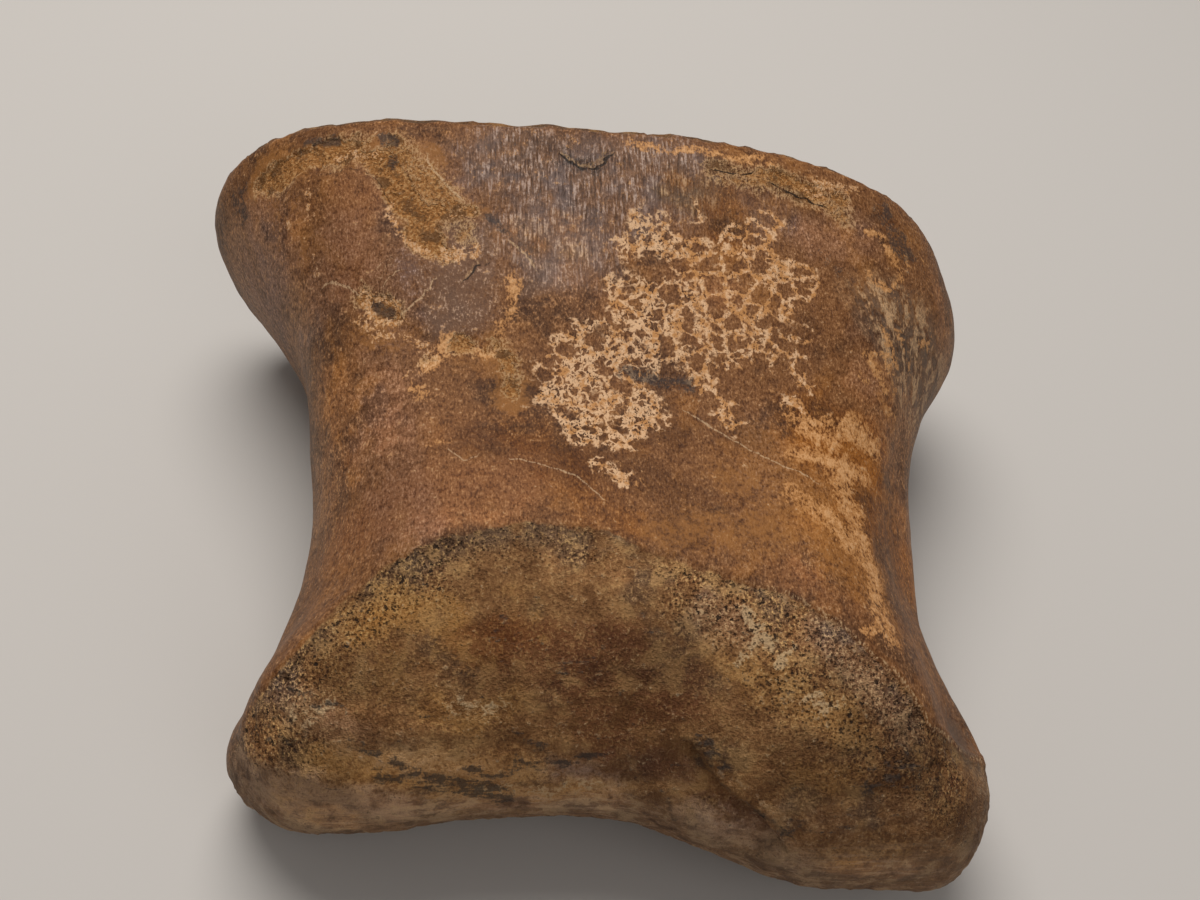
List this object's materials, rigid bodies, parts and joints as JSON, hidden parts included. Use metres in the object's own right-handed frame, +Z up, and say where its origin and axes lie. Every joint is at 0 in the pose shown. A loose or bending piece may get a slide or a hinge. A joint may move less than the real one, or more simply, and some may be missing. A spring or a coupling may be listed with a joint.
{
  "type": "fossil hadrosaur toe bone",
  "caption": "Broad fossil toe bone of a duck-billed dinosaur, with a cupped near end and a rolling, lobed far end, lying on its sole for museum display",
  "frame": {"origin": "middle of the bone's bounding box, on the surface it rests on", "axes": "+X to the bone's right seen from its far (distal) end, +Y from the far end to the near (proximal) end, +Z up; the sole is down"},
  "size_m": [0.1394, 0.1312, 0.0687],
  "materials": {
    "fossil_bone": "satin, mineralised bone, brown with cream and ochre marks"
  },
  "bodies": {
    "root": {"toe_bone": "fossil_bone"}
  },
  "joints": []
}
